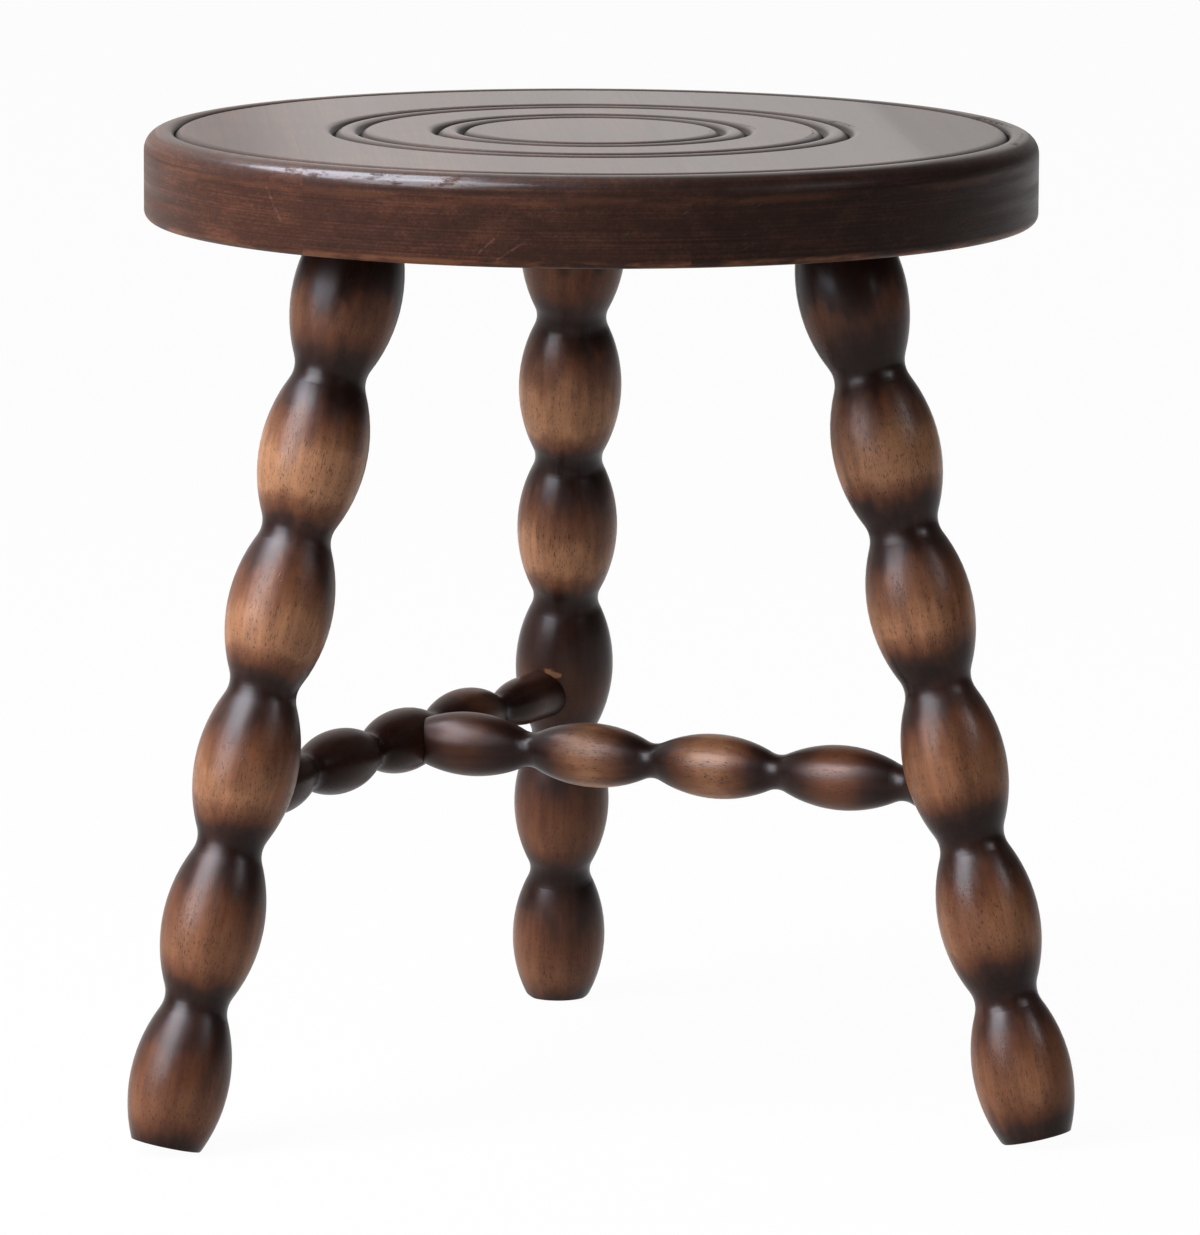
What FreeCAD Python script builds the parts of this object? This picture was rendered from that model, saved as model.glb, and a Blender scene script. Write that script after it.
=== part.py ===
"""Three-legged stool with bobbin-turned legs, a T stretcher and a round ring-turned seat of edge-glued boards.

Millimetres and degrees, +Z up. The origin is on the floor, under the middle of the seat.
The back leg stands on +Y, and the two front legs 120 degrees to each side of it.
"""
import FreeCAD, Part
import math
import os
import Sketcher
from enum import IntEnum
from FreeCAD import Vector

# Driving dimensions: one cell of the sheet each
SIZES = {
    # Seat: a turned disc with a rounded rim, a groove inside the rim and two pairs of grooves with a bead between
    "seat_dia": 320,
    "seat_thick": 31.5,
    "edge_round": 7,
    "base_round": 3.3,
    "rim_crest": 1,
    "rim_shoulder": 3,
    "rim_groove_depth": 2.5,
    "groove_depth": 3,
    "groove_shoulder": 4,
    "bead_width": 9.5,
    "outer_ring_dia": 174.8,
    "inner_ring_dia": 101.8,
    # Glue lines between the three seat boards, measured from the seat's centre
    "left_glue_line": 107,
    "right_glue_line": 24,
    # Legs: splayed, turned as a row of bobbins that grow thinner towards the foot
    "splay": 14.2,
    "leg_top_radius": 97.7,
    "leg_bobbins": 6,
    "leg_pitch": 56.6,
    "first_belly": 22,
    "foot_reach": 23.4,
    "foot_level": 1,
    "leg_top_dia": 39.1,
    "leg_foot_dia": 35.2,
    "leg_belly_arc": 56,
    "leg_neck_arc": 9.5,
    # Stretchers: one from the left leg to the back leg, and one from its middle to the right leg
    "stretcher_height": 125,
    "stretcher_dia": 23.3,
    "stretcher_pitch": 49.6,
    "stretcher_belly_arc": 51,
    "stretcher_neck_arc": 9,
    "cross_first_belly": 25.6,
    # The side stretcher's middle bobbin sits towards the left leg, and its end at the back leg is left plain
    "side_shift": 5,
    "side_end_dia": 18,
    # Glued round tenons in blind sockets. A stretcher's turned part stops shoulder_short before the axis it meets
    "leg_tenon_dia": 22,
    "socket_cover": 10.5,
    "stretcher_tenon_dia": 12,
    "tenon_past_axis": 3,
    "shoulder_short": 3,
    "tee_tenon_dia": 10,
    "tee_tenon_past_axis": 4,
    "glue_gap": 0.1,
    "socket_end_gap": 1,
    "scribe_gap": 0.1,
}

# Sizes that follow from the driving dimensions
FORMULAS = {
    "leg_length": "=first_belly + (leg_bobbins - 1) * leg_pitch + foot_reach",
    "leg_dia_step": "=(leg_top_dia - leg_foot_dia) / (leg_bobbins - 1)",
    "foot_radius": "=leg_foot_dia / 2 - leg_belly_arc + sqrt(leg_belly_arc ^ 2 - foot_reach ^ 2)",
    "underside": "=leg_length * cos(splay) + foot_radius * sin(splay) - foot_level",
    "leg_socket_depth": "=(seat_thick - socket_cover) / cos(splay)",
    "leg_tenon_length": "=leg_socket_depth - socket_end_gap",
    "ring_radius": "=leg_top_radius + (underside - stretcher_height) * tan(splay)",
    "side_half_length": "=ring_radius * cos(30)",
    "cross_length": "=ring_radius * 1.5",
    "rim_groove_radius": "=seat_dia / 2 - edge_round - rim_crest - rim_shoulder",
}

BACK_AZIMUTH = 90
LEFT_AZIMUTH = 210
RIGHT_AZIMUTH = 330
SIDE_MIDDLE_AZIMUTH = (BACK_AZIMUTH + LEFT_AZIMUTH) / 2
SIDE_AZIMUTH = SIDE_MIDDLE_AZIMUTH - 90


class SketchPart(IntEnum):
    """Numbers by which a sketch knows its axes and the points of a line or an arc."""

    X_AXIS = -1
    Y_AXIS = -2
    START = 1
    END = 2
    CENTRE = 3


X_AXIS = SketchPart.X_AXIS
Y_AXIS = SketchPart.Y_AXIS
START = SketchPart.START
END = SketchPart.END
CENTRE = SketchPart.CENTRE
ORIGIN_POINT = (X_AXIS, START)

doc = FreeCAD.newDocument("stool")
sheet = doc.addObject("Spreadsheet::Sheet", "Sizes")
for row, (alias, content) in enumerate({**SIZES, **FORMULAS}.items(), start=1):
    sheet.set(f"A{row}", alias)
    sheet.set(f"B{row}", str(content))
    sheet.setAlias(f"B{row}", alias)
doc.recompute()


def value(expression):
    """Number that an expression of sheet cells stands for now."""
    return float(sheet.evalExpression(str(expression)))


def bind(thing, **expressions):
    """Tie properties of an object to expressions of sheet cells."""
    for name, expression in expressions.items():
        thing.setExpression(name, str(expression))
    return thing


def frame(x, y, z, turns):
    """Placement expression: a point, and (axis, angle) turns with the outermost first."""
    rotation = " * ".join(f"rotation(vector({axis}); {angle})" for axis, angle in turns)
    return f"placement(vector({x}; {y}; {z}); {rotation})"


def along(place, distance):
    """Placement expression moved along its own Z axis."""
    return f"{place} * placement(vector(0; 0; {distance}); rotation(vector(0; 0; 1); 0))"


def leg_frame(azimuth):
    """Leg axis: Z runs down the leg from the point where it meets the seat's underside."""
    return frame(
        f"Sizes.leg_top_radius * cos({azimuth})",
        f"Sizes.leg_top_radius * sin({azimuth})",
        "Sizes.underside",
        [("0; 0; 1", azimuth), ("0; 1; 0", "180 - Sizes.splay")],
    )


def stretcher_frame(azimuth):
    """Stretcher axis: Z runs level along the azimuth from the middle of the side stretcher."""
    return frame(
        f"Sizes.ring_radius / 2 * cos({SIDE_MIDDLE_AZIMUTH})",
        f"Sizes.ring_radius / 2 * sin({SIDE_MIDDLE_AZIMUTH})",
        "Sizes.stretcher_height",
        [("0; 0; 1", azimuth), ("0; 1; 0", "90")],
    )


def half_plane_sketch(body):
    """Empty sketch on the body's own XZ plane: sketch X is the radius and sketch Y the turning axis."""
    sketch = body.newObject("Sketcher::SketchObject", body.Name + "_profile")
    plane = next(feature for feature in body.Origin.OriginFeatures if feature.Role == "XZ_Plane")
    sketch.AttachmentSupport = [(plane, "")]
    sketch.MapMode = "FlatFace"
    return sketch


def revolve(body, sketch):
    """Full turn of a profile about its sketch's vertical axis."""
    turning = body.newObject("PartDesign::Revolution", body.Name + "_turning")
    turning.Profile = sketch
    turning.ReferenceAxis = (sketch, ["V_Axis"])
    turning.Angle = 360
    body.Tip = turning


def constrain(sketch, kind, *arguments):
    """Constraint whose last argument, an expression, also drives it when the kind takes a size."""
    *places, expression = arguments
    index = sketch.addConstraint(Sketcher.Constraint(kind, *places, value(expression)))
    sketch.setExpression(f"Constraints[{index}]", str(expression))


def pin_coordinate(sketch, kind, axis, point, expression):
    """Hold one coordinate of a sketch point, measured from the sketch's origin."""
    size = value(expression)
    if size == 0:
        sketch.addConstraint(Sketcher.Constraint("PointOnObject", *point, axis))
    elif size > 0:
        constrain(sketch, kind, *ORIGIN_POINT, *point, expression)
    else:
        constrain(sketch, kind, *point, *ORIGIN_POINT, f"-({expression})")


def pin_x(sketch, point, expression):
    pin_coordinate(sketch, "DistanceX", Y_AXIS, point, expression)


def pin_y(sketch, point, expression):
    pin_coordinate(sketch, "DistanceY", X_AXIS, point, expression)


def arc_between(start, end, radius):
    """Arc under a half circle that bulges to the left of the way from start to end."""
    chord = end - start
    middle = (start + end) * 0.5
    left = Vector(-chord.y, chord.x, 0).normalize()
    sagitta = radius - math.sqrt(radius ** 2 - (chord.Length / 2) ** 2)
    return Part.Arc(start, middle + left * sagitta, end)


def outline_body(name, corners):
    """Turned body from corners (radius, height, radius of the arc that leads to the next corner, or None)."""
    body = doc.addObject("PartDesign::Body", name)
    sketch = half_plane_sketch(body)
    points = [Vector(value(x), value(y), 0) for x, y, _ in corners]
    ways = []
    for index, (_, _, arc) in enumerate(corners):
        start = points[index]
        end = points[(index + 1) % len(points)]
        if arc is None:
            piece = sketch.addGeometry(Part.LineSegment(start, end))
            ways.append((piece, START, END))
        else:
            piece = sketch.addGeometry(arc_between(start, end, value(arc)))
            starts_here = sketch.getPoint(piece, START).isEqual(start, 1e-6)
            ways.append((piece, START, END) if starts_here else (piece, END, START))
            constrain(sketch, "Radius", piece, arc)
    for index, (x, y, _) in enumerate(corners):
        piece, first, _ = ways[index]
        before, _, last = ways[index - 1]
        sketch.addConstraint(Sketcher.Constraint("Coincident", before, last, piece, first))
        pin_x(sketch, (piece, first), x)
        pin_y(sketch, (piece, first), y)
    revolve(body, sketch)
    return body


def bobbin_body(name, bellies, belly_arc, neck_arc, tail, place):
    """Turned row of bobbins along Z: convex belly arcs joined by hollow neck arcs that are tangent to them.

    bellies lists (place along the axis, radius) from low to high. The row starts at the middle of the first
    belly and ends the length tail beyond the middle of the last one.
    """
    body = doc.addObject("PartDesign::Body", name)
    sketch = half_plane_sketch(body)
    bulge = value(belly_arc)
    hollow = value(neck_arc)
    centres = [Vector(value(radius) - bulge, value(height), 0) for height, radius in bellies]

    necks = []
    for lower, upper in zip(centres, centres[1:]):
        link = upper - lower
        outward = Vector(link.y, -link.x, 0).normalize()
        rise = math.sqrt((bulge + hollow) ** 2 - (link.Length / 2) ** 2)
        necks.append((lower + upper) * 0.5 + outward * rise)

    belly_ids = []
    for index, centre in enumerate(centres):
        low = 0
        high = math.asin(value(tail) / bulge)
        if index > 0:
            low = math.atan2(necks[index - 1].y - centre.y, necks[index - 1].x - centre.x)
        if index < len(necks):
            high = math.atan2(necks[index].y - centre.y, necks[index].x - centre.x)
        circle = Part.Circle(centre, Vector(0, 0, 1), bulge)
        belly_ids.append(sketch.addGeometry(Part.ArcOfCircle(circle, low, high)))

    neck_ids = []
    for index, centre in enumerate(necks):
        up = centres[index + 1] - centre
        down = centres[index] - centre
        circle = Part.Circle(centre, Vector(0, 0, 1), hollow)
        arc = Part.ArcOfCircle(circle, math.atan2(up.y, up.x), math.atan2(down.y, down.x) + 2 * math.pi)
        neck_ids.append(sketch.addGeometry(arc))

    for piece, (height, radius) in zip(belly_ids, bellies):
        constrain(sketch, "Radius", piece, belly_arc)
        pin_x(sketch, (piece, CENTRE), f"{radius} - {belly_arc}")
        pin_y(sketch, (piece, CENTRE), height)
    for index, piece in enumerate(neck_ids):
        constrain(sketch, "Radius", piece, neck_arc)
        sketch.addConstraint(Sketcher.Constraint("Tangent", belly_ids[index], END, piece, END))
        sketch.addConstraint(Sketcher.Constraint("Tangent", piece, START, belly_ids[index + 1], START))

    foot = sketch.getPoint(belly_ids[0], START)
    head = sketch.getPoint(belly_ids[-1], END)
    foot_line = sketch.addGeometry(Part.LineSegment(Vector(0, foot.y, 0), foot))
    head_line = sketch.addGeometry(Part.LineSegment(head, Vector(0, head.y, 0)))
    axis_line = sketch.addGeometry(Part.LineSegment(Vector(0, head.y, 0), Vector(0, foot.y, 0)))
    for first, second in (
        ((foot_line, END), (belly_ids[0], START)),
        ((belly_ids[-1], END), (head_line, START)),
        ((head_line, END), (axis_line, START)),
        ((axis_line, END), (foot_line, START)),
    ):
        sketch.addConstraint(Sketcher.Constraint("Coincident", *first, *second))
    for line in (foot_line, head_line):
        sketch.addConstraint(Sketcher.Constraint("Horizontal", line))
    sketch.addConstraint(Sketcher.Constraint("PointOnObject", foot_line, START, Y_AXIS))
    sketch.addConstraint(Sketcher.Constraint("PointOnObject", head_line, END, Y_AXIS))
    pin_y(sketch, (belly_ids[0], START), bellies[0][0])
    pin_y(sketch, (belly_ids[-1], END), f"{bellies[-1][0]} + {tail}")
    revolve(body, sketch)
    return bind(body, Placement=place)


def peg(name, place, start, end, dia):
    """Cylinder along a frame's Z axis from start to end."""
    cylinder = doc.addObject("Part::Cylinder", name)
    return bind(
        cylinder,
        Radius=f"({dia}) / 2",
        Height=f"({end}) - ({start})",
        Placement=along(place, start),
    )


def block(name, place, length, width, height):
    """Box whose corner is at a frame's origin."""
    box = doc.addObject("Part::Box", name)
    return bind(box, Length=length, Width=width, Height=height, Placement=place)


def cut(name, base, tool):
    result = doc.addObject("Part::Cut", name)
    result.Base = base
    result.Tool = tool
    return result


def common(name, base, tool):
    result = doc.addObject("Part::Common", name)
    result.Base = base
    result.Tool = tool
    return result


def join(name, *pieces):
    result = doc.addObject("Part::MultiFuse", name)
    result.Shapes = list(pieces)
    return result


UPRIGHT = [("0; 0; 1", 0)]
SOCKET_WIDER = "2 * Sizes.glue_gap"


def seat_disc():
    """The whole seat as it leaves the lathe, its underside at its own Z = 0."""
    top = "Sizes.seat_thick"
    rim = "Sizes.seat_dia / 2"
    shoulder = "(Sizes.groove_shoulder ^ 2 + Sizes.groove_depth ^ 2) / (2 * Sizes.groove_depth)"
    bead = "((Sizes.bead_width / 2) ^ 2 + Sizes.groove_depth ^ 2) / (2 * Sizes.groove_depth)"
    corners = [("0", top, None)]
    for ring in ("Sizes.inner_ring_dia", "Sizes.outer_ring_dia"):
        inner = f"{ring} / 2 - Sizes.bead_width / 2"
        outer = f"{ring} / 2 + Sizes.bead_width / 2"
        corners += [
            (f"{inner} - Sizes.groove_shoulder", top, shoulder),
            (inner, f"{top} - Sizes.groove_depth", bead),
            (outer, f"{top} - Sizes.groove_depth", shoulder),
            (f"{outer} + Sizes.groove_shoulder", top, None),
        ]
    groove = "Sizes.rim_groove_radius"
    depth = "Sizes.rim_groove_depth"
    corners += [
        (f"{groove} - Sizes.groove_shoulder", top, f"(Sizes.groove_shoulder ^ 2 + {depth} ^ 2) / (2 * {depth})"),
        (groove, f"{top} - {depth}", f"(Sizes.rim_shoulder ^ 2 + {depth} ^ 2) / (2 * {depth})"),
        (f"{groove} + Sizes.rim_shoulder", top, None),
        (f"{rim} - Sizes.edge_round", top, "Sizes.edge_round"),
        (rim, f"{top} - Sizes.edge_round", None),
        (rim, "Sizes.base_round", "Sizes.base_round"),
        (f"{rim} - Sizes.base_round", "0", None),
        ("0", "0", None),
    ]
    body = outline_body("seat_disc", corners)
    return bind(body, Placement=frame(0, 0, "Sizes.underside", UPRIGHT))


def seat_boards():
    """The seat's three edge-glued boards, their grain along Y, with the leg sockets bored from below."""
    sockets = []
    for azimuth in (BACK_AZIMUTH, LEFT_AZIMUTH, RIGHT_AZIMUTH):
        sockets.append(peg(
            f"seat_socket_{azimuth}", leg_frame(azimuth), "-Sizes.leg_socket_depth", "Sizes.first_belly",
            f"Sizes.leg_tenon_dia + {SOCKET_WIDER}",
        ))
    bored = cut("seat_bored", seat_disc(), join("seat_sockets", *sockets))
    edges = ("-Sizes.seat_dia", "-Sizes.left_glue_line", "Sizes.right_glue_line", "Sizes.seat_dia")
    names = ("seat_board_left", "seat_board_middle", "seat_board_right")
    boards = []
    for name, left, right in zip(names, edges, edges[1:]):
        place = frame(left, "-Sizes.seat_dia", "Sizes.underside", UPRIGHT)
        strip = block(name + "_strip", place, f"{right} - ({left})", "2 * Sizes.seat_dia", "2 * Sizes.seat_thick")
        boards.append(common(name, bored, strip))
    return boards


def leg_turning(name, azimuth, grow="0"):
    """Leg as turned, one bobbin longer at the top than it shows. grow offsets its surface outwards."""
    bellies = []
    for index in range(-1, int(value("Sizes.leg_bobbins"))):
        height = f"Sizes.first_belly + {index} * Sizes.leg_pitch"
        radius = f"(Sizes.leg_top_dia - {index} * Sizes.leg_dia_step) / 2 + {grow}"
        bellies.append((height, radius))
    return bobbin_body(
        name, bellies, f"(Sizes.leg_belly_arc + {grow})", f"(Sizes.leg_neck_arc - {grow})",
        "Sizes.foot_reach", leg_frame(azimuth),
    )


def leg(name, azimuth, standing_height, socket):
    """Leg with its shoulder cut to the seat's underside, its foot levelled, its tenon and its stretcher socket."""
    turned = common(name + "_cut_to_length", leg_turning(name + "_turning", azimuth), standing_height)
    tenon = peg(
        name + "_tenon", leg_frame(azimuth), "-Sizes.leg_tenon_length", "Sizes.first_belly", "Sizes.leg_tenon_dia",
    )
    return cut(name, join(name + "_with_tenon", turned, tenon), socket)


def stretcher_turning(name, first, last, offset, place, grow="0", last_dia="Sizes.stretcher_dia"):
    """Stretcher as turned, with bellies numbered from first to last and number 0 at the offset."""
    bellies = []
    for index in range(first, last + 1):
        dia = last_dia if index == last else "Sizes.stretcher_dia"
        bellies.append((f"{offset} + {index} * Sizes.stretcher_pitch", f"{dia} / 2 + {grow}"))
    return bobbin_body(
        name, bellies, f"(Sizes.stretcher_belly_arc + {grow})", f"(Sizes.stretcher_neck_arc - {grow})", "0", place,
    )


def length_of(name, place, start, end):
    """Block round a stretcher's axis that keeps its length from start to end."""
    half = "Sizes.stretcher_dia"
    corner = f"{place} * placement(vector(-{half}; -{half}; {start}); rotation(vector(0; 0; 1); 0))"
    return block(name, corner, f"2 * {half}", f"2 * {half}", f"({end}) - ({start})")


SIDE_FRAME = stretcher_frame(SIDE_AZIMUTH)
CROSS_FRAME = stretcher_frame(RIGHT_AZIMUTH)
SIDE_HALF = "Sizes.side_half_length"
SCRIBE = "Sizes.scribe_gap"


def last_visible_belly(length, offset):
    """Number of the last belly that lies clear of the leg at the far end of a stretcher."""
    reach = value(f"{length} - Sizes.leg_top_dia / 2 - ({offset})")
    return max(0, math.floor(reach / value("Sizes.stretcher_pitch")))


def side_turning(name, grow="0"):
    """Side stretcher as turned: bobbins from inside the left leg to the belly where its plain end begins."""
    first = -math.ceil(value(f"({SIDE_HALF} - Sizes.side_shift) / Sizes.stretcher_pitch"))
    last = last_visible_belly(SIDE_HALF, "-Sizes.side_shift")
    return stretcher_turning(name, first, last, "-Sizes.side_shift", SIDE_FRAME, grow, "Sizes.side_end_dia")


def side_stretcher():
    """Left leg to back leg, with the cross stretcher let into its middle bobbin."""
    half = SIDE_HALF
    left_root = f"-Sizes.side_shift - {last_visible_belly(half, 'Sizes.side_shift')} * Sizes.stretcher_pitch"
    back_root = f"-Sizes.side_shift + {last_visible_belly(half, '-Sizes.side_shift')} * Sizes.stretcher_pitch"
    turned = join(
        "side_turned",
        side_turning("side_turning"),
        peg("side_plain_end", SIDE_FRAME, back_root, half, "Sizes.side_end_dia"),
    )
    shoulder = f"({half} - Sizes.shoulder_short)"
    cut_to_length = common("side_cut_to_length", turned, length_of("side_length", SIDE_FRAME, f"-{shoulder}", shoulder))
    legs = join(
        "side_scribing",
        leg_turning("left_scribe", LEFT_AZIMUTH, SCRIBE),
        leg_turning("back_scribe", BACK_AZIMUTH, SCRIBE),
    )
    scribed = cut("side_scribed", cut_to_length, legs)
    tip = f"{half} + Sizes.tenon_past_axis"
    with_tenons = join(
        "side_with_tenons",
        scribed,
        peg("side_left_tenon", SIDE_FRAME, f"-({tip})", left_root, "Sizes.stretcher_tenon_dia"),
        peg("side_back_tenon", SIDE_FRAME, back_root, tip, "Sizes.stretcher_tenon_dia"),
    )
    tee_socket = peg(
        "tee_socket", CROSS_FRAME, "-(Sizes.tee_tenon_past_axis + Sizes.socket_end_gap)",
        "Sizes.cross_first_belly", f"Sizes.tee_tenon_dia + {SOCKET_WIDER}",
    )
    return cut("side_stretcher", with_tenons, tee_socket)


def cross_stretcher():
    """Middle of the side stretcher to the right leg."""
    offset = "Sizes.cross_first_belly"
    length = "Sizes.cross_length"
    count = math.ceil(value(f"({length} - {offset}) / Sizes.stretcher_pitch"))
    turned = stretcher_turning("cross_turning", -1, count, offset, CROSS_FRAME)
    shoulder = f"{length} - Sizes.shoulder_short"
    cut_to_length = common(
        "cross_cut_to_length", turned, length_of("cross_length_block", CROSS_FRAME, "Sizes.shoulder_short", shoulder),
    )
    scribing = join(
        "cross_scribing",
        leg_turning("right_scribe", RIGHT_AZIMUTH, SCRIBE),
        side_turning("tee_scribe", SCRIBE),
    )
    scribed = cut("cross_scribed", cut_to_length, scribing)
    root = f"{offset} + {last_visible_belly(length, offset)} * Sizes.stretcher_pitch"
    return join(
        "cross_stretcher",
        scribed,
        peg("cross_tee_tenon", CROSS_FRAME, "-Sizes.tee_tenon_past_axis", offset, "Sizes.tee_tenon_dia"),
        peg("cross_leg_tenon", CROSS_FRAME, root, f"{length} + Sizes.tenon_past_axis", "Sizes.stretcher_tenon_dia"),
    )


def leg_socket(name, place, start, end):
    """Blind hole in a leg for a stretcher's tenon."""
    return peg(name, place, start, end, f"Sizes.stretcher_tenon_dia + {SOCKET_WIDER}")


def legs():
    """The three legs, each with the socket of the one stretcher that meets it."""
    span = "Sizes.seat_dia"
    standing_height = block(
        "standing_height", frame(f"-{span}", f"-{span}", 0, UPRIGHT), f"2 * {span}", f"2 * {span}", "Sizes.underside",
    )
    side_end = f"{SIDE_HALF} + Sizes.tenon_past_axis + Sizes.socket_end_gap"
    cross_end = "Sizes.cross_length + Sizes.tenon_past_axis + Sizes.socket_end_gap"
    return [
        leg("leg_back", BACK_AZIMUTH, standing_height,
            leg_socket("back_socket", SIDE_FRAME, f"{SIDE_HALF} / 2", side_end)),
        leg("leg_left", LEFT_AZIMUTH, standing_height,
            leg_socket("left_socket", SIDE_FRAME, f"-({side_end})", f"-{SIDE_HALF} / 2")),
        leg("leg_right", RIGHT_AZIMUTH, standing_height,
            leg_socket("right_socket", CROSS_FRAME, "Sizes.cross_length / 2", cross_end)),
    ]


pieces = seat_boards() + legs() + [side_stretcher(), cross_stretcher()]
doc.recompute()

for thing in doc.Objects:
    if "Invalid" in thing.State or "Error" in thing.State:
        raise RuntimeError(f"{thing.Label} failed: {thing.State}")
for piece in pieces:
    shape = piece.Shape
    if shape.isNull() or not shape.isValid() or len(shape.Solids) != 1:
        raise RuntimeError(f"{piece.Label} is not one valid solid")

os.makedirs("parts", exist_ok=True)
for piece in pieces:
    piece.Shape.exportStep(f"parts/{piece.Label}.step")
    box = piece.Shape.BoundBox
    print(f"{piece.Label}: {piece.Shape.Volume / 1000:.1f} cm3, z {box.ZMin:.2f} to {box.ZMax:.2f}")
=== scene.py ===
"""Looks of the spindle stool: stained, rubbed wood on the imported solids, a pale floor and soft light."""
import math

import bpy
from mathutils import Matrix, Vector


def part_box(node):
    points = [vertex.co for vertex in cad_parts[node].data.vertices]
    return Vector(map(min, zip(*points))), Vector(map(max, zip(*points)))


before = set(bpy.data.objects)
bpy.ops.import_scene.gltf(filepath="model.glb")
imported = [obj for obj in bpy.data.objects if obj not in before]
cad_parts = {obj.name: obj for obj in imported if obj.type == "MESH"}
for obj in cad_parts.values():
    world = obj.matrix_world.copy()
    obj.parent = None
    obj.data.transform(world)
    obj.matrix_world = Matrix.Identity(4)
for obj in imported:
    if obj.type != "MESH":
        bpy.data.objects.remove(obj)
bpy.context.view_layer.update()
UP = Vector((0, 0, 1))

# Sizes of the stool in metres, as the solids have them
SPLAY = math.radians(14.2)
LEG_TOP_RADIUS = 0.0977
LEG_PITCH = 0.0566
LEG_FIRST_BELLY = 0.022
STRETCHER_HEIGHT = 0.125
STRETCHER_PITCH = 0.0496
CROSS_FIRST_BELLY = 0.0256
SIDE_SHIFT = 0.005
GROOVE_DEPTH = 0.003
RIM_CREST_RADIUS = 0.153
SEAT_UNDERSIDE, SEAT_TOP = (corner.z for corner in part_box("seat_board_left"))
SEAT_RADIUS = -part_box("seat_board_left")[0].x

# Directions seen from above, in degrees from +X
LEG_AZIMUTHS = {"leg_back": 90, "leg_left": 210, "leg_right": 330}
SIDE_MIDDLE_AZIMUTH = 150
SIDE_AZIMUTH = 60
CROSS_AZIMUTH = 330

# Camera, from a fit to the photograph: image size and focal length in pixels, place in metres
IMAGE_WIDTH = 1200
IMAGE_HEIGHT = 1235
FOCAL_PIXELS = 8496
SENSOR_MM = 36
CAMERA_DISTANCE = 3.028
CAMERA_HEIGHT = 0.6601
CAMERA_AZIMUTH = math.radians(-3.69)
CAMERA_YAW = math.radians(0.074)
CAMERA_PITCH = math.radians(9.096)
CAMERA_ROLL = math.radians(0.3)
CAMERA_REACH = 100


def make_camera():
    """Camera at the photograph's viewing angle."""
    back = Vector((math.sin(CAMERA_AZIMUTH), -math.cos(CAMERA_AZIMUTH), 0))
    level = -back
    side = level.cross(UP)
    level = level * math.cos(CAMERA_YAW) + side * math.sin(CAMERA_YAW)
    side = level.cross(UP)
    look = level * math.cos(CAMERA_PITCH) - UP * math.sin(CAMERA_PITCH)
    upright = side.cross(look)
    right = side * math.cos(CAMERA_ROLL) + upright * math.sin(CAMERA_ROLL)
    upright = upright * math.cos(CAMERA_ROLL) - side * math.sin(CAMERA_ROLL)
    data = bpy.data.cameras.new("camera")
    data.sensor_width = SENSOR_MM
    data.lens = FOCAL_PIXELS / max(IMAGE_WIDTH, IMAGE_HEIGHT) * SENSOR_MM
    data.clip_end = CAMERA_REACH
    camera = bpy.data.objects.new("camera", data)
    bpy.context.scene.collection.objects.link(camera)
    turn = Matrix((right, upright, -look)).transposed().to_4x4()
    place = back * CAMERA_DISTANCE + UP * CAMERA_HEIGHT
    camera.matrix_world = Matrix.Translation(place) @ turn
    bpy.context.scene.camera = camera


# Colour sockets of a Mix node by number, since its other sockets have the same names
MIX_SHARE = 0
MIX_FIRST = 6
MIX_SECOND = 7
MIX_RESULT = 2


def grey(level):
    """Colour with the same level in red, green and blue."""
    return (level,) * 3


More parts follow.
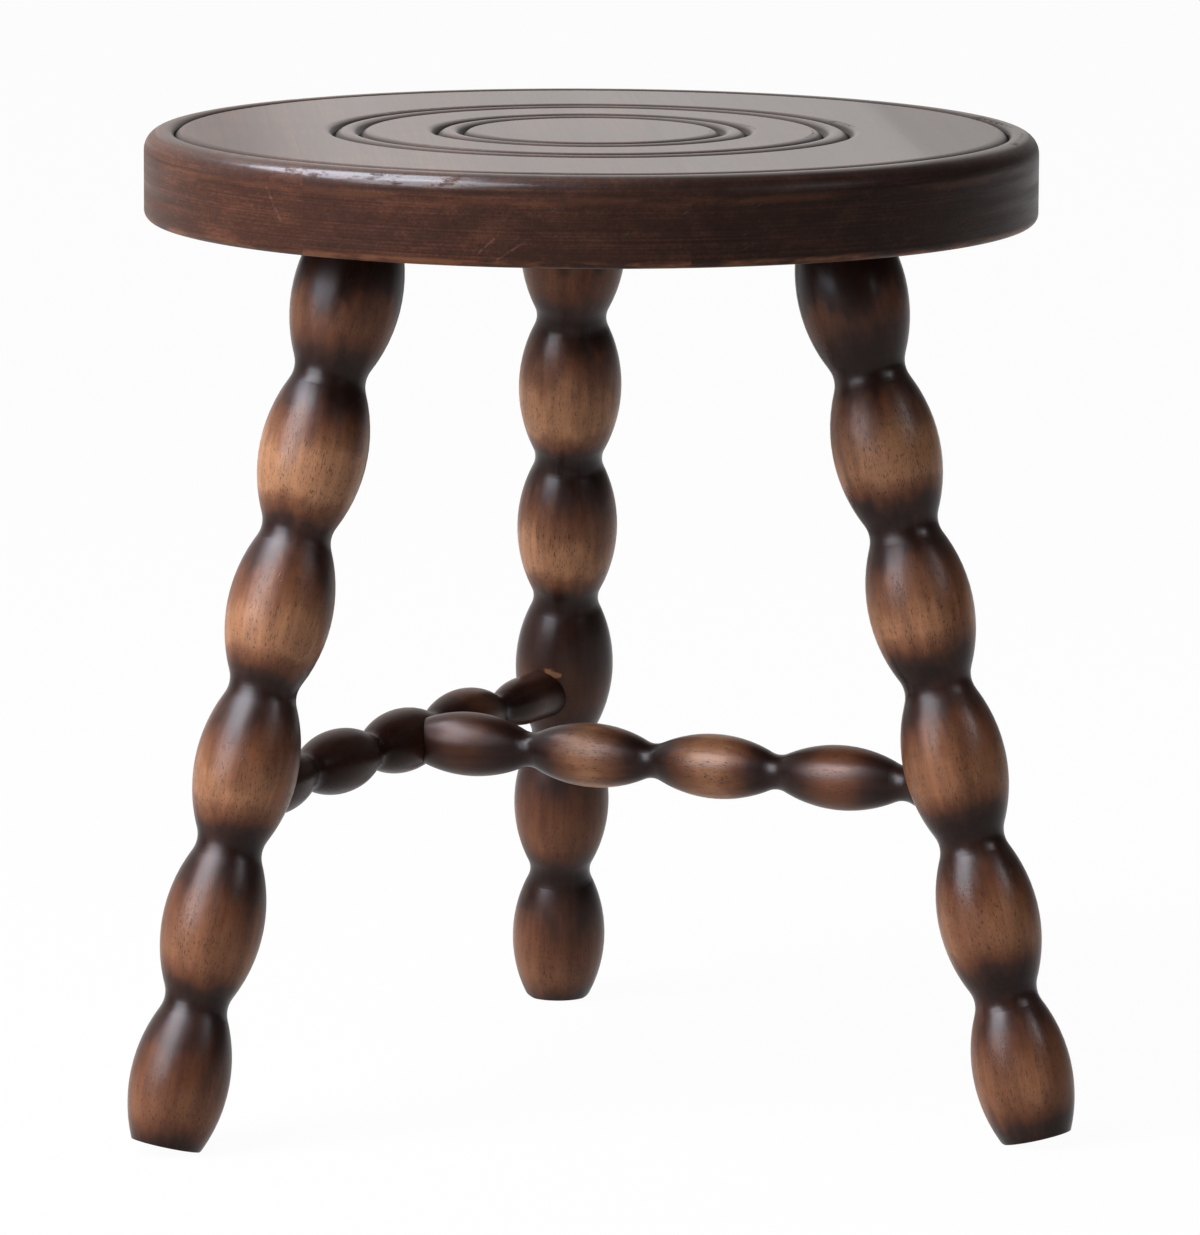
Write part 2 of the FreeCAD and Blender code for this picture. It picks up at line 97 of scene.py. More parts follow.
class Shader:
    """Short names for the nodes of one material or world.

    From math on, each method returns an output socket.
    """

    def __init__(self, owner):
        owner.use_nodes = True
        self.nodes = owner.node_tree.nodes
        self.links = owner.node_tree.links
        self.nodes.clear()

    def set(self, socket, content):
        """Give an input socket a link or a constant."""
        if isinstance(content, bpy.types.NodeSocket):
            self.links.new(content, socket)
        else:
            socket.default_value = content

    def node(self, kind, **settings):
        made = self.nodes.new(kind)
        for name, content in settings.items():
            setattr(made, name, content)
        return made

    def end(self, kind, last):
        """Close the tree with an output node of a kind, whose surface is the last node's result."""
        self.set(self.node(kind).inputs["Surface"], last.outputs[0])

    def math(self, operation, first, second=0.0, clamp=False):
        made = self.node("ShaderNodeMath", operation=operation, use_clamp=clamp)
        self.set(made.inputs[0], first)
        self.set(made.inputs[1], second)
        return made.outputs[0]

    def product(self, first, *others):
        for other in others:
            first = self.math("MULTIPLY", first, other)
        return first

    def total(self, first, *others):
        for other in others:
            first = self.math("ADD", first, other)
        return first

    def wander(self, noise, reach):
        """Offset by a noise around its middle, half of reach at most to either side."""
        return self.product(self.math("SUBTRACT", noise, 0.5), reach)

    def vector(self, operation, first, second=(0, 0, 0)):
        made = self.node("ShaderNodeVectorMath", operation=operation)
        self.set(made.inputs[0], first)
        self.set(made.inputs["Scale" if operation == "SCALE" else 1], second)
        return made.outputs["Value" if operation in ("DOT_PRODUCT", "LENGTH") else "Vector"]

    def split(self, vector):
        """The three parts of a vector, as three sockets."""
        made = self.node("ShaderNodeSeparateXYZ")
        self.set(made.inputs[0], vector)
        return made.outputs

    def range(self, content, low, high, to_low=0.0, to_high=1.0, smooth=True):
        made = self.node("ShaderNodeMapRange", interpolation_type="SMOOTHSTEP" if smooth else "LINEAR")
        for index, number in enumerate((content, low, high, to_low, to_high)):
            self.set(made.inputs[index], number)
        return made.outputs[0]

    def mix(self, blend, share, first, second):
        made = self.node("ShaderNodeMix", data_type="RGBA", blend_type=blend)
        self.set(made.inputs[MIX_SHARE], share)
        self.set(made.inputs[MIX_FIRST], first)
        self.set(made.inputs[MIX_SECOND], second)
        return made.outputs[MIX_RESULT]

    def tinted(self, colour, share, tint):
        """Colour moved by a share towards a constant tint."""
        return self.mix("MIX", share, colour, (*tint, 1))

    def shaded(self, colour, shade):
        """Colour times a shade."""
        return self.mix("MULTIPLY", 1.0, colour, shade)

    def ramp(self, factor, stops, interpolation="LINEAR"):
        made = self.node("ShaderNodeValToRGB")
        ramp = made.color_ramp
        ramp.interpolation = interpolation
        while len(ramp.elements) < len(stops):
            ramp.elements.new(1.0)
        for element, (place, colour) in zip(ramp.elements, stops):
            element.position = place
            element.color = (*colour, 1)
        self.set(made.inputs[0], factor)
        return made.outputs[0]

    def coordinates(self, kind="Object"):
        return self.node("ShaderNodeTexCoord").outputs[kind]

    def mapped(self, vector, scale=(1, 1, 1), turn=(0, 0, 0), move=(0, 0, 0)):
        made = self.node("ShaderNodeMapping")
        self.set(made.inputs["Vector"], vector)
        made.inputs["Scale"].default_value = scale
        made.inputs["Rotation"].default_value = turn
        made.inputs["Location"].default_value = move
        return made.outputs[0]

    def noise(self, vector, scale, detail=2.0, roughness=0.5, distortion=0.0):
        made = self.node("ShaderNodeTexNoise", noise_dimensions="3D")
        self.set(made.inputs["Vector"], self.mapped(vector, scale=scale))
        made.inputs["Scale"].default_value = 1.0
        made.inputs["Detail"].default_value = detail
        made.inputs["Roughness"].default_value = roughness
        made.inputs["Distortion"].default_value = distortion
        return made.outputs[0]

    def bump(self, height, strength, distance):
        made = self.node("ShaderNodeBump")
        made.inputs["Strength"].default_value = strength
        made.inputs["Distance"].default_value = distance
        self.set(made.inputs["Height"], height)
        return made.outputs[0]


def new_material(name):
    """Empty material with one Principled surface, as (material, shader, surface node)."""
    material = bpy.data.materials.new(name)
    shader = Shader(material)
    surface = shader.node("ShaderNodeBsdfPrincipled")
    shader.end("ShaderNodeOutputMaterial", surface)
    return material, shader, surface


def local_place(shader, place):
    """Object coordinates seen from a piece's own axis frame."""
    inverse = place.inverted()
    return shader.mapped(shader.coordinates(), turn=inverse.to_euler(), move=inverse.to_translation())


def leg_place(azimuth):
    """Frame of a leg: Z runs down its axis from the seat's underside."""
    angle = math.radians(azimuth)
    start = Vector((LEG_TOP_RADIUS * math.cos(angle), LEG_TOP_RADIUS * math.sin(angle), SEAT_UNDERSIDE))
    turn = Matrix.Rotation(angle, 4, "Z") @ Matrix.Rotation(math.pi - SPLAY, 4, "Y")
    return Matrix.Translation(start) @ turn


def stretcher_place(azimuth):
    """Frame of a stretcher: Z runs level from the middle of the side stretcher."""
    ring_radius = LEG_TOP_RADIUS + (SEAT_UNDERSIDE - STRETCHER_HEIGHT) * math.tan(SPLAY)
    middle_radius = ring_radius / 2
    angle = math.radians(SIDE_MIDDLE_AZIMUTH)
    middle = Vector((middle_radius * math.cos(angle), middle_radius * math.sin(angle), STRETCHER_HEIGHT))
    turn = Matrix.Rotation(math.radians(azimuth), 4, "Z") @ Matrix.Rotation(math.pi / 2, 4, "Y")
    return Matrix.Translation(middle) @ turn


# Share of a stroke's width that has its full strength, and the cells per metre of its ragged edge
STROKE_CORE = 0.3
RAGGED_SCALE = (500, 500, 500)


def mark(shader, coordinates, start, end, width, ragged=0.0):
    """Mask of the points near a straight stroke, such as a scratch or a chip.

    ragged is how far the edge of the stroke strays.
    """
    stroke = end - start
    offset = shader.vector("SUBTRACT", coordinates, start)
    share = shader.vector("DOT_PRODUCT", offset, stroke)
    share = shader.math("DIVIDE", share, stroke.length_squared, clamp=True)
    along = shader.vector("SCALE", stroke, share)
    distance = shader.vector("LENGTH", shader.vector("SUBTRACT", offset, along))
    if ragged:
        edge = shader.noise(coordinates, RAGGED_SCALE, detail=3)
        distance = shader.total(distance, shader.wander(edge, ragged))
    return shader.range(distance, width, width * STROKE_CORE)


# Stain colours, linear: almost black in the necks, rubbed back to warm brown on the bellies
STAIN_BLACK = (0.0145, 0.0056, 0.0038)
STAIN_DARK = (0.032, 0.0125, 0.0080)
STAIN_RED = (0.092, 0.033, 0.0150)
STAIN_RUBBED = (0.165, 0.068, 0.032)
STAIN_BARE = (0.300, 0.143, 0.070)
STAIN_STOPS = [
    (0, STAIN_BLACK), (0.22, STAIN_DARK), (0.45, STAIN_RED), (0.75, STAIN_RUBBED), (1, STAIN_BARE),
]

# Noise on turned wood, in cells per metre: twice across the axis, then along it
BLOTCH_SCALE = (60, 60, 28)
FEATHER_SCALE = (420, 420, 45)
STREAK_SCALE = (260, 260, 9)
TURNED_PORE_SCALE = (2400, 2400, 520)
LATHE_SCALE = (25, 25, 1400)
TURNED_GLOSS_SCALE = (90, 90, 40)
# How a piece's seed moves its noise along each axis
TURNED_SEED_SPREAD = (1, 1.7, 0.6)

# How much the edge of the rubbed part is broken up, and from where to where it goes from stained to bare
BLOTCH_WEIGHT = 2.2
FEATHER_WEIGHT = 0.4
EDGE_MIDDLE = (BLOTCH_WEIGHT + FEATHER_WEIGHT) / 2
RUB_STRETCH = (-0.9, 1.0)
# How far the edge of the painted shade under the seat strays, in metres
PAINTED_SHADE_WANDER = 0.04

# Shades of the streaks and lathe rings. Pores show where the stain is rubbed and the streaks are dark
STREAK_SHADES = [(0.3, grey(0.74)), (0.7, grey(1.20))]
LATHE_SHADES = [(0.35, grey(0.96)), (0.65, grey(1.03))]
TURNED_PORE_EDGE = (0.58, 0.68)
PORE_RUB_STRETCH = (0.1, 0.6)
PORE_STREAK_STRETCH = (0.68, 0.46)
TURNED_PORE_SHARE = 0.65
TURNED_PORE_COLOUR = (0.020, 0.011, 0.008)

# Finish: roughness by the gloss noise, weight of the lathe rings, strength and height of the bump
GLOSS_STRETCH = (0.3, 0.7)
TURNED_ROUGHNESS = (0.27, 0.38)
TURNED_SPECULAR = 0.14
BLACK_SPECULAR = 0.07
LATHE_RELIEF = 0.25
TURNED_BUMP = (0.25, 0.0003)


def turned_wood(
    name, place, pitch, first_belly, rubs, shift, seed, fade,
    painted_seat_shade=None, marks=(), specular=TURNED_SPECULAR,
):
    """Bobbin-turned wood: dark necks, bellies rubbed lighter by the shares in rubs, pores along the axis.

    shift is the share of a pitch by which the rubbed part sits past the middle of a bobbin.
    fade has two stretches of a pitch, from neck to neck, where the stain fades and where it comes back.
    A painted shade below the seat fades from black over the stretch of the axis given as the dark end,
    where a piece has one.
    marks are strokes of another colour, each as (start, end, width, ragged edge, colour).
    """
    material, shader, surface = new_material(name)
    local = local_place(shader, place)
    height = shader.split(local)[2]
    along = shader.math("DIVIDE", shader.math("SUBTRACT", height, first_belly), pitch)
    shifted = shader.mapped(local, move=[seed * share for share in TURNED_SEED_SPREAD])

    # Blotches and feathered streaks break the edge between the dark neck and the rubbed belly
    blotch = shader.noise(shifted, BLOTCH_SCALE, detail=3, roughness=0.6)
    feather = shader.noise(shifted, FEATHER_SCALE)
    edge = shader.total(shader.product(blotch, BLOTCH_WEIGHT), shader.product(feather, FEATHER_WEIGHT))
    phase = shader.math("FRACT", shader.total(along, 0.5 - shift))
    before, after = (shader.range(phase, *stretch, -1, 1) for stretch in fade)
    wave = shader.math("MINIMUM", before, after)
    rubbed = shader.range(shader.total(wave, edge, -EDGE_MIDDLE), *RUB_STRETCH, smooth=False)
    count = len(rubs)
    stops = [(index / count, grey(share)) for index, share in enumerate(rubs)]
    bobbin = shader.math("DIVIDE", shader.total(along, 0.5), count)
    rubbed = shader.product(rubbed, shader.ramp(bobbin, stops, "CONSTANT"))
    # Painted shade: the top of a leg is darkened towards black just under the seat, where its shadow falls
    if painted_seat_shade is not None:
        reach = shader.total(height, shader.wander(blotch, PAINTED_SHADE_WANDER))
        rubbed = shader.product(rubbed, shader.range(reach, *painted_seat_shade))
    colour = shader.ramp(rubbed, STAIN_STOPS)

    # Grain: soft streaks along the axis, then short dark pores, then faint rings left by the lathe
    streak = shader.noise(shifted, STREAK_SCALE, detail=4, roughness=0.65)
    colour = shader.shaded(colour, shader.ramp(streak, STREAK_SHADES))
    pores = shader.product(
        shader.range(shader.noise(shifted, TURNED_PORE_SCALE, detail=1), *TURNED_PORE_EDGE),
        shader.range(rubbed, *PORE_RUB_STRETCH),
        shader.range(streak, *PORE_STREAK_STRETCH),
    )
    colour = shader.tinted(colour, shader.product(pores, TURNED_PORE_SHARE), TURNED_PORE_COLOUR)
    rings = shader.noise(shifted, LATHE_SCALE, detail=1)
    colour = shader.shaded(colour, shader.ramp(rings, LATHE_SHADES))
    coordinates = shader.coordinates()
    for start, end, width, ragged, tint in marks:
        colour = shader.tinted(colour, mark(shader, coordinates, start, end, width, ragged), tint)
    shader.set(surface.inputs["Base Color"], colour)

    gloss = shader.noise(shifted, TURNED_GLOSS_SCALE, detail=3)
    shader.set(surface.inputs["Roughness"], shader.range(gloss, *GLOSS_STRETCH, *TURNED_ROUGHNESS))
    surface.inputs["Specular IOR Level"].default_value = specular
    relief = shader.math("SUBTRACT", shader.product(rings, LATHE_RELIEF), pores)
    shader.set(surface.inputs["Normal"], shader.bump(relief, *TURNED_BUMP))
    return material


def on_rim(across, below_top):
    """Point on the front of the rim, by its x and its depth below the seat's top."""
    return Vector((across, -math.sqrt(SEAT_RADIUS ** 2 - across ** 2), SEAT_TOP - below_top))


# Noise on the seat, in cells per metre: across the grain, along it, and up
RING_SCALE = (55, 3.0, 130)
FIBRE_SCALE = (900, 14, 900)
TURNING_SCALE = (9, 9, 1500)
SEAT_PORE_SCALE = (1700, 150, 1700)
WEAR_SCALE = (28, 28, 160)
SCRATCH_SCALE = (600, 600, 600)
SCUFF_SCALE = (160, 160, 1300)
SCUFF_TURN = (0, math.radians(35), 0)
SEAT_GLOSS_SCALE = (45, 1.2, 200)
PIT_SCALE = (110, 110, 420)
# How a board's seed moves its noise along each axis
SEAT_SEED_SPREAD = (1, 0.7, 1.3)

# Stain of the seat by the tone of its grain, and how it fades from the left end (0) to the right end (1),
# partly the boards' own tone and partly painted light, lighter on the left towards the lamps
RING_WEIGHT = 0.42
FIBRE_WEIGHT = 0.24
TURNING_WEIGHT = 0.44
SEAT_STOPS = [
    (0.34, (0.013, 0.0072, 0.0052)),
    (0.55, (0.034, 0.0150, 0.0102)),
    (0.76, (0.092, 0.037, 0.021)),
]
SEAT_TONE_AND_PAINTED_LIGHT = [
    (0.0, (1.40, 1.26, 1.12)),
    (0.20, (1.22, 1.13, 1.06)),
    (0.38, (0.96, 0.97, 0.98)),
    (0.62, grey(0.70)),
    (1.0, grey(0.52)),
]
SEAT_PORE_EDGE = (0.62, 0.70)
SEAT_PORE_SHARE = 0.5
SEAT_PORE_COLOUR = (0.012, 0.008, 0.007)

# Wear of the rim: heights above the underside, depths below the top, edges of the noise, shares, colours
BOTTOM_WEAR = (0.0034, 0.0016)
UPPER_WEAR_START = (0.0105, 0.0085)
UPPER_WEAR_END = (0.0060, 0.0080)
UPPER_WEAR_SHARE = 0.24
WEAR_EDGE = (0.42, 0.60)
WEAR_SHARE = 0.7
WEAR_COLOUR = (0.185, 0.072, 0.034)
RIM_SCRATCHES = [
    (on_rim(-0.1190, 0.0090), on_rim(-0.1145, 0.0195), 0.0009),
    (on_rim(-0.0480, 0.0262), on_rim(-0.0430, 0.0215), 0.0005),
    (on_rim(-0.0420, 0.0285), on_rim(-0.0330, 0.0225), 0.0005),
]
SCRATCH_EDGE = (0.35, 0.6)
SCRATCH_SHARE = 0.27
SCRATCH_COLOUR = (0.180, 0.095, 0.060)
SCUFF_EDGE = (0.60, 0.72)
SCUFF_WEAR_EDGE = (0.48, 0.62)
SCUFF_SHARE = 0.30
SCUFF_COLOUR = (0.105, 0.085, 0.075)

# Darker colour in the grooves: depths at which it starts and ends, so that it keeps off the underside
RIM_CREST_BLUR = 0.001
GROOVE_START = (0.0001, GROOVE_DEPTH * 0.5)
GROOVE_END = (GROOVE_DEPTH * 2, GROOVE_DEPTH * 1.4)
GROOVE_SHARE = 0.92
GROOVE_COLOUR = (0.007, 0.005, 0.0045)

# Polish of the top, duller past its left and right ends, and of the rounded edge on the front left
TOP_POLISH_DEPTH = (0.0012, 0.0002)
POLISH_GLOSS_STRETCH = (0.2, 0.8)
TOP_POLISH = (0.37, 0.60)
POLISH_END_WANDER = 0.02
LEFT_POLISH_END = (-0.090, -0.140)
LEFT_POLISH_SHARE = 0.36
RIGHT_POLISH_END = (0.102, 0.114)
RIGHT_POLISH_SHARE = 0.66
EDGE_POLISH_DEPTH = (0.0085, 0.0055)
PIT_EDGE = (0.36, 0.50)
EDGE_POLISH_LEFT = (-0.156, -0.125)
EDGE_POLISH_RIGHT = (0.05, -0.02)
EDGE_POLISH = 0.40

# Finish: roughness by the gloss noise, weight of the fibres, strength and height of the bump
SEAT_ROUGHNESS = (0.36, 0.46)
SEAT_COAT_ROUGHNESS = 0.2
SEAT_SPECULAR = 0.07
FIBRE_RELIEF = 0.5
SEAT_BUMP = (0.18, 0.0002)


def worn_rim(shader, colour, coordinates, shifted, rim, depth):
    """Seat colour with a worn rim: broken red-brown edges, pale scratches and tilted scuffs."""
    patch = shader.noise(shifted, WEAR_SCALE, detail=4, roughness=0.65)
    bottom = shader.range(shader.math("SUBTRACT", SEAT_TOP - SEAT_UNDERSIDE, depth), *BOTTOM_WEAR)
    upper = shader.product(shader.range(depth, *UPPER_WEAR_START), shader.range(depth, *UPPER_WEAR_END))
    worn = shader.math("ADD", bottom, shader.product(upper, UPPER_WEAR_SHARE), clamp=True)
    worn = shader.product(worn, rim, shader.range(patch, *WEAR_EDGE), WEAR_SHARE)
    colour = shader.tinted(colour, worn, WEAR_COLOUR)

    scratched = 0.0
    for start, end, width in RIM_SCRATCHES:
        scratched = shader.math("MAXIMUM", scratched, mark(shader, coordinates, start, end, width))
    broken = shader.range(shader.noise(shifted, SCRATCH_SCALE), *SCRATCH_EDGE)
    colour = shader.tinted(colour, shader.product(scratched, broken, SCRATCH_SHARE), SCRATCH_COLOUR)

    tilted = shader.mapped(coordinates, turn=SCUFF_TURN)
    scuff = shader.range(shader.noise(tilted, SCUFF_SCALE, detail=3, roughness=0.7), *SCUFF_EDGE)
    scuff = shader.product(scuff, rim, shader.range(patch, *SCUFF_WEAR_EDGE), SCUFF_SHARE)
    return shader.tinted(colour, scuff, SCUFF_COLOUR)


def seat_polish(shader, shifted, gloss, x, depth, inside):
    """Coat of the seat: its uneven polished top, and the pitted polish on the rounded edge."""
    place = shader.total(x, shader.wander(gloss, POLISH_END_WANDER))
    top = shader.product(
        shader.range(depth, *TOP_POLISH_DEPTH),
        shader.range(place, *LEFT_POLISH_END, 1, LEFT_POLISH_SHARE),
        shader.range(place, *RIGHT_POLISH_END, 1, RIGHT_POLISH_SHARE),
        shader.range(gloss, *POLISH_GLOSS_STRETCH, *TOP_POLISH),
    )
    edge = shader.product(
        shader.range(depth, *EDGE_POLISH_DEPTH),
        shader.math("SUBTRACT", 1, inside),
        shader.range(shader.noise(shifted, PIT_SCALE, detail=4, roughness=0.7), *PIT_EDGE),
        shader.range(x, *EDGE_POLISH_LEFT),
        shader.range(x, *EDGE_POLISH_RIGHT),
        EDGE_POLISH,
    )
    return shader.math("MAXIMUM", top, edge)


def seat_wood(name, strength, seed):
    """Stained board with its grain along Y. strength is how light the board is beside its neighbours."""
    material, shader, surface = new_material(name)
    coordinates = shader.coordinates()
    shifted = shader.mapped(coordinates, move=[seed * share for share in SEAT_SEED_SPREAD])
    x, y, z = shader.split(coordinates)
    radius = shader.math("SQRT", shader.total(shader.product(x, x), shader.product(y, y)))
    depth = shader.math("SUBTRACT", SEAT_TOP, z)
    rim = shader.range(radius, RIM_CREST_RADIUS, SEAT_RADIUS)
    inside = shader.range(radius, RIM_CREST_RADIUS, RIM_CREST_RADIUS - RIM_CREST_BLUR)

    # Annual rings and fibres run long along Y, so the front and back of the rim show end grain
    ring = shader.noise(shifted, RING_SCALE, detail=4, roughness=0.6, distortion=0.4)
    fibre = shader.noise(shifted, FIBRE_SCALE, detail=3, roughness=0.6)
    turning = shader.noise(coordinates, TURNING_SCALE, detail=4, roughness=0.75)
    tone = shader.total(
        shader.product(ring, RING_WEIGHT),
        shader.product(fibre, FIBRE_WEIGHT),
        shader.product(turning, TURNING_WEIGHT),
    )
    colour = shader.ramp(tone, SEAT_STOPS)
    # Partly painted light: the seat is lighter on the left towards the lamps and darker to the right, on
    # top of the boards' own tone
    across = shader.range(x, -SEAT_RADIUS, SEAT_RADIUS, smooth=False)
    colour = shader.shaded(colour, shader.ramp(across, SEAT_TONE_AND_PAINTED_LIGHT))
    colour = shader.shaded(colour, (*grey(strength), 1))
    pores = shader.range(shader.noise(shifted, SEAT_PORE_SCALE, detail=1), *SEAT_PORE_EDGE)
    colour = shader.tinted(colour, shader.product(pores, SEAT_PORE_SHARE), SEAT_PORE_COLOUR)
    colour = worn_rim(shader, colour, coordinates, shifted, rim, depth)

    # Colour darkened in the turned grooves
    groove = shader.product(shader.range(depth, *GROOVE_START), inside, shader.range(depth, *GROOVE_END))
    colour = shader.tinted(colour, shader.product(groove, GROOVE_SHARE), GROOVE_COLOUR)
    shader.set(surface.inputs["Base Color"], colour)

    gloss = shader.noise(shifted, SEAT_GLOSS_SCALE, detail=3)
    shader.set(surface.inputs["Roughness"], shader.range(gloss, *GLOSS_STRETCH, *SEAT_ROUGHNESS))
    shader.set(surface.inputs["Coat Weight"], seat_polish(shader, shifted, gloss, x, depth, inside))
    surface.inputs["Coat Roughness"].default_value = SEAT_COAT_ROUGHNESS
    surface.inputs["Specular IOR Level"].default_value = SEAT_SPECULAR
    relief = shader.math("SUBTRACT", shader.product(fibre, FIBRE_RELIEF), pores)
    shader.set(surface.inputs["Normal"], shader.bump(relief, *SEAT_BUMP))
    return material


# Share of the stain rubbed off each belly, from the top of a leg down or along a stretcher
LEG_RUBS = {
    "leg_left": (0.62, 1.06, 0.92, 0.87, 0.77, 0.68),
    "leg_back": (0.50, 1.16, 1.02, 0.33, 0.59, 0.75),
    "leg_right": (0.42, 1.12, 0.92, 0.79, 0.81, 0.83),
}
SIDE_RUBS = (0.18, 0.15, 0.22, 0.45, 0.30)
CROSS_RUBS = (0.30, 0.92, 0.88, 0.52, 0.5)
# Shares of a pitch by which the rubbed parts sit past the middle of the bobbins
LEG_SHIFTS = {"leg_left": -0.01, "leg_back": -0.02, "leg_right": -0.09}
SIDE_RUB_SHIFT = 0
CROSS_RUB_SHIFT = 0.03
# Stretches of a pitch, from neck to neck, over which the stain fades and over which it comes back
LEG_FADE = ((-0.05, 0.73), (1.03, 0.69))
STRETCHER_FADE = ((0, 0.5), (1, 0.5))
# Stretch of a leg's axis, in metres below the seat, over which a painted shade from the seat fades from
# black
LEG_PAINTED_SEAT_SHADE = (0.014, 0.030)
# A chip of raw wood on the back leg, above its stretcher
RAW_WOOD = (0.19, 0.092, 0.042)
CHIP_START = Vector((-0.0078, 0.1276, 0.1344))
CHIP_END = Vector((-0.0036, 0.1266, 0.1330))
CHIP_WIDTH = 0.0014
CHIP_RAGGED = 0.0032
LEG_MARKS = {"leg_back": [(CHIP_START, CHIP_END, CHIP_WIDTH, CHIP_RAGGED, RAW_WOOD)]}
# How light each board is beside its neighbours
BOARD_STRENGTHS = {"seat_board_left": 1.03, "seat_board_middle": 1.0, "seat_board_right": 0.92}
# Seeds that give each piece its own grain
LEG_SEED = 1.3
SIDE_SEED = 5.1
CROSS_SEED = 6.4
BOARD_SEED = 0.37
BOARD_SEED_STEP = 0.61


def dress(node, material):
    """Give a solid its material in every slot."""
    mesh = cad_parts[node].data
    mesh.materials.clear()
    mesh.materials.append(material)


def dress_stool():
    """Wood on every solid, each piece with its own grain."""
    for index, (node, azimuth) in enumerate(LEG_AZIMUTHS.items()):
        wood = turned_wood(
            node + "_wood", leg_place(azimuth), LEG_PITCH, LEG_FIRST_BELLY, LEG_RUBS[node],
            LEG_SHIFTS[node], LEG_SEED + index, LEG_FADE, LEG_PAINTED_SEAT_SHADE, LEG_MARKS.get(node, ()),
        )
        dress(node, wood)
    side_first_belly = -SIDE_SHIFT - (len(SIDE_RUBS) // 2) * STRETCHER_PITCH
    side_wood = turned_wood(
        "side_stretcher_wood", stretcher_place(SIDE_AZIMUTH), STRETCHER_PITCH, side_first_belly,
        SIDE_RUBS, SIDE_RUB_SHIFT, SIDE_SEED, STRETCHER_FADE, specular=BLACK_SPECULAR,
    )
    dress("side_stretcher", side_wood)
    cross_wood = turned_wood(
        "cross_stretcher_wood", stretcher_place(CROSS_AZIMUTH), STRETCHER_PITCH, CROSS_FIRST_BELLY,
        CROSS_RUBS, CROSS_RUB_SHIFT, CROSS_SEED, STRETCHER_FADE,
    )
    dress("cross_stretcher", cross_wood)
    for index, (node, strength) in enumerate(BOARD_STRENGTHS.items()):
        dress(node, seat_wood(node + "_wood", strength, BOARD_SEED + BOARD_SEED_STEP * index))


# Floor: half its side and its drop below the feet in metres, its corners, and how white the camera sees it
FLOOR_HALF = 12.0
FLOOR_DROP = 0.0002
FLOOR_CORNERS = ((-1, -1), (1, -1), (1, 1), (-1, 1))
FLOOR_COLOUR = (0.62, 0.62, 0.62, 1)
FLOOR_WHITE_SHARE = 0.965


def make_floor():
    """Wide pale floor that keeps a faint shadow and can be seen through from below."""
    mesh = bpy.data.meshes.new("floor")
    corners = [(x * FLOOR_HALF, y * FLOOR_HALF, -FLOOR_DROP) for x, y in FLOOR_CORNERS]
    mesh.from_pydata(corners, [], [(0, 1, 2, 3)])
    floor = bpy.data.objects.new("floor", mesh)
    bpy.context.scene.collection.objects.link(floor)
    material = bpy.data.materials.new("floor")
    shader = Shader(material)
    diffuse = shader.node("ShaderNodeBsdfDiffuse")
    diffuse.inputs[0].default_value = FLOOR_COLOUR
    white = shader.node("ShaderNodeEmission")
    path = shader.node("ShaderNodeLightPath")
    seen = shader.math("MAXIMUM", path.outputs["Is Camera Ray"], path.outputs["Is Glossy Ray"])
    seen = shader.math("MAXIMUM", seen, path.outputs["Is Transmission Ray"])
    pale = shader.node("ShaderNodeMixShader")
    shader.set(pale.inputs[0], shader.product(seen, FLOOR_WHITE_SHARE))
    shader.set(pale.inputs[1], diffuse.outputs[0])
    shader.set(pale.inputs[2], white.outputs[0])
    clear = shader.node("ShaderNodeBsdfTransparent")
    both = shader.node("ShaderNodeMixShader")
    shader.set(both.inputs[0], shader.node("ShaderNodeNewGeometry").outputs["Backfacing"])
    shader.set(both.inputs[1], pale.outputs[0])
    shader.set(both.inputs[2], clear.outputs[0])
    shader.end("ShaderNodeOutputMaterial", both)
    mesh.materials.append(material)


# Room light by how far a direction turns from away (0) to towards (1) the bright side
WORLD_BRIGHT_SIDE = Vector((-0.35, 0.88, 0.30)).normalized()
WORLD_STOPS = [(0.35, (0.07, 0.068, 0.066)), (0.75, (0.22, 0.215, 0.215)), (0.96, (1.12, 1.06, 1.03))]


def make_world():
    """Soft room light: bright behind the stool and a little to its left, dim in front."""
    world = bpy.data.worlds.new("world")
    bpy.context.scene.world = world
    shader = Shader(world)
    turned_to = shader.vector("DOT_PRODUCT", shader.coordinates("Generated"), WORLD_BRIGHT_SIDE)
    colour = shader.ramp(shader.range(turned_to, -1, 1, smooth=False), WORLD_STOPS)
    background = shader.node("ShaderNodeBackground")
    shader.set(background.inputs[0], colour)
    shader.end("ShaderNodeOutputWorld", background)


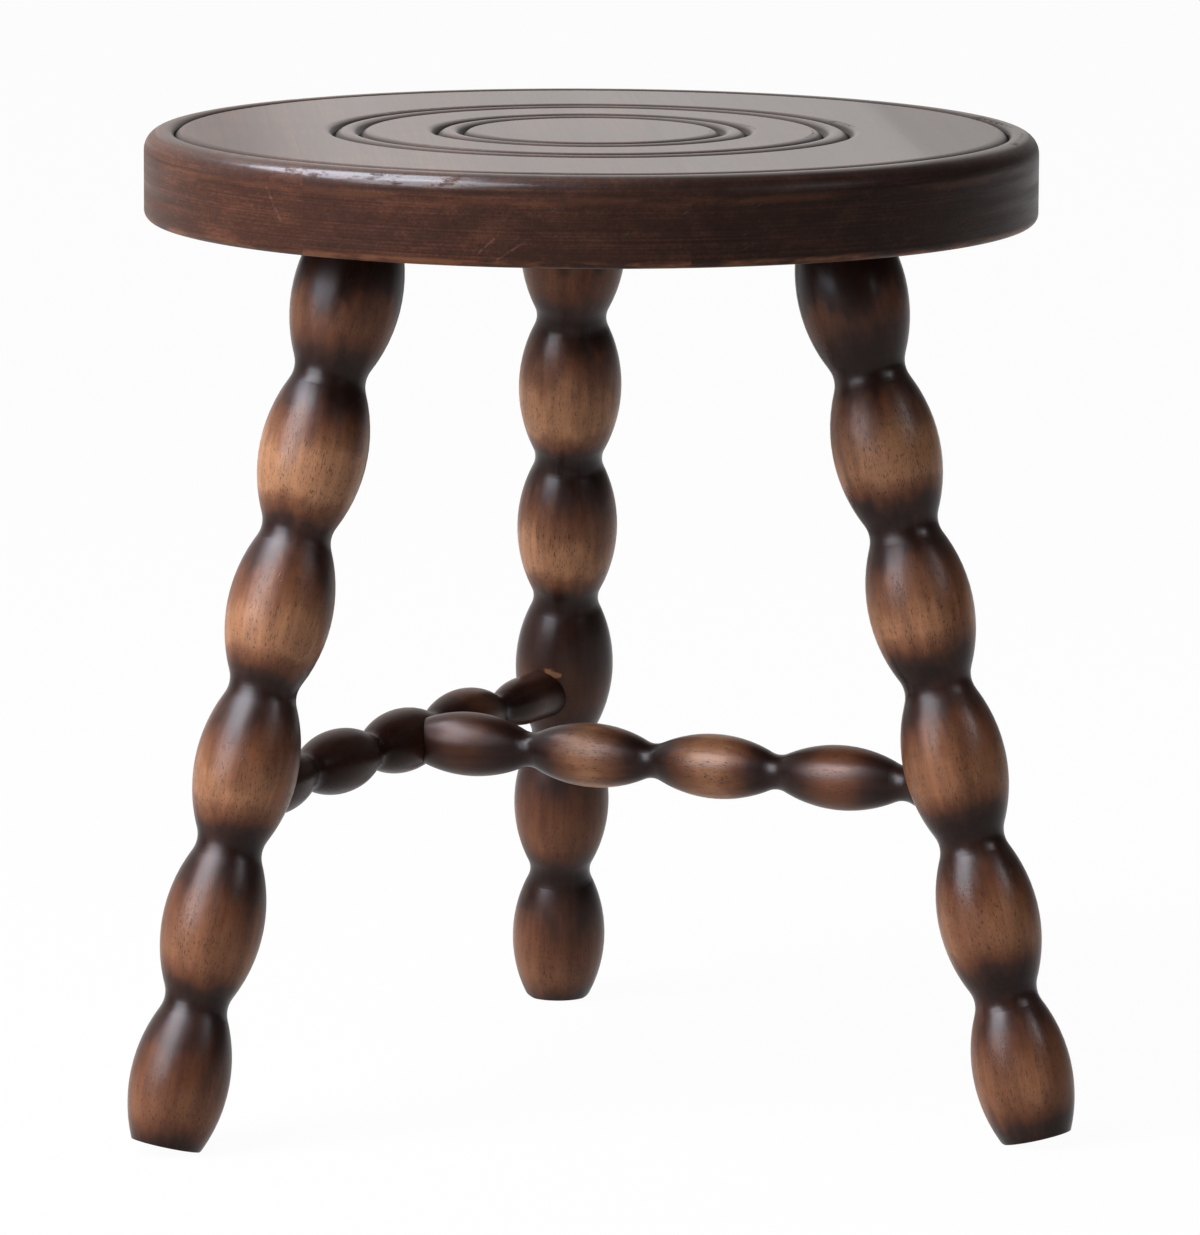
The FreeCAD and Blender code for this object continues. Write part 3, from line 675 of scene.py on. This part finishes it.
# Lamps by name: place, target, width and height in metres, watts and colour
STOOL_MIDDLE = (0, 0, 0.2)
ROUNDED_EDGE = (-0.1, -0.1, 0.35)
LAMPS = {
    "key": ((-1.4, -0.95, 2.2), STOOL_MIDDLE, 1.2, 1.7, 80, (0.95, 0.95, 1.0)),
    "side": ((-2.3, -0.9, 1.0), STOOL_MIDDLE, 1.2, 1.6, 58, (0.92, 0.92, 1.0)),
    "sheen": ((-1.16, -0.81, 1.32), STOOL_MIDDLE, 1.3, 2.3, 185, (0.82, 0.89, 1.0)),
    "edge_sheen": ((-0.83, 0.10, 1.50), ROUNDED_EDGE, 1.0, 0.9, 58, (0.82, 0.87, 1.0)),
    "glint": ((2.0, -1.2, 1.6), STOOL_MIDDLE, 0.6, 0.8, 20, (0.9, 0.92, 1.0)),
    "fill": ((1.5, -1.7, 1.3), STOOL_MIDDLE, 0.35, 1.3, 6, (0.97, 0.97, 1.0)),
}
# Lamps that show only in the lacquer, and the pieces that show the sheen
GLOSS_LAMPS = ("sheen", "edge_sheen", "glint")
TURNED_NODES = (*LEG_AZIMUTHS, "side_stretcher", "cross_stretcher")


def window_light(name, place, target, width, height, watts, colour):
    """Soft upright lamp, like a window, that looks at a target point."""
    data = bpy.data.lights.new(name, "AREA")
    data.shape = "RECTANGLE"
    data.size = width
    data.size_y = height
    data.energy = watts
    data.color = colour
    lamp = bpy.data.objects.new(name, data)
    lamp.location = place
    lamp.rotation_euler = (Vector(target) - Vector(place)).to_track_quat("-Z", "Y").to_euler()
    lamp.visible_camera = False
    bpy.context.scene.collection.objects.link(lamp)
    return lamp


def make_lights():
    """Cool windows on the left and a dim one on the right, with others that show only in the lacquer.

    The side window does not show in the lacquer, and the sheen shows on the turned pieces alone, because
    they would wash out the seat's top in views from the side.
    """
    lamps = {name: window_light(name, *setting) for name, setting in LAMPS.items()}
    lamps["side"].visible_glossy = False
    for name in GLOSS_LAMPS:
        lamps[name].visible_diffuse = False
    turned = bpy.data.collections.new("turned_pieces")
    for node in TURNED_NODES:
        turned.objects.link(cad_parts[node])
    lamps["sheen"].light_linking.receiver_collection = turned


make_camera()
dress_stool()
make_floor()
make_world()
make_lights()
bpy.context.scene.view_settings.view_transform = "Standard"
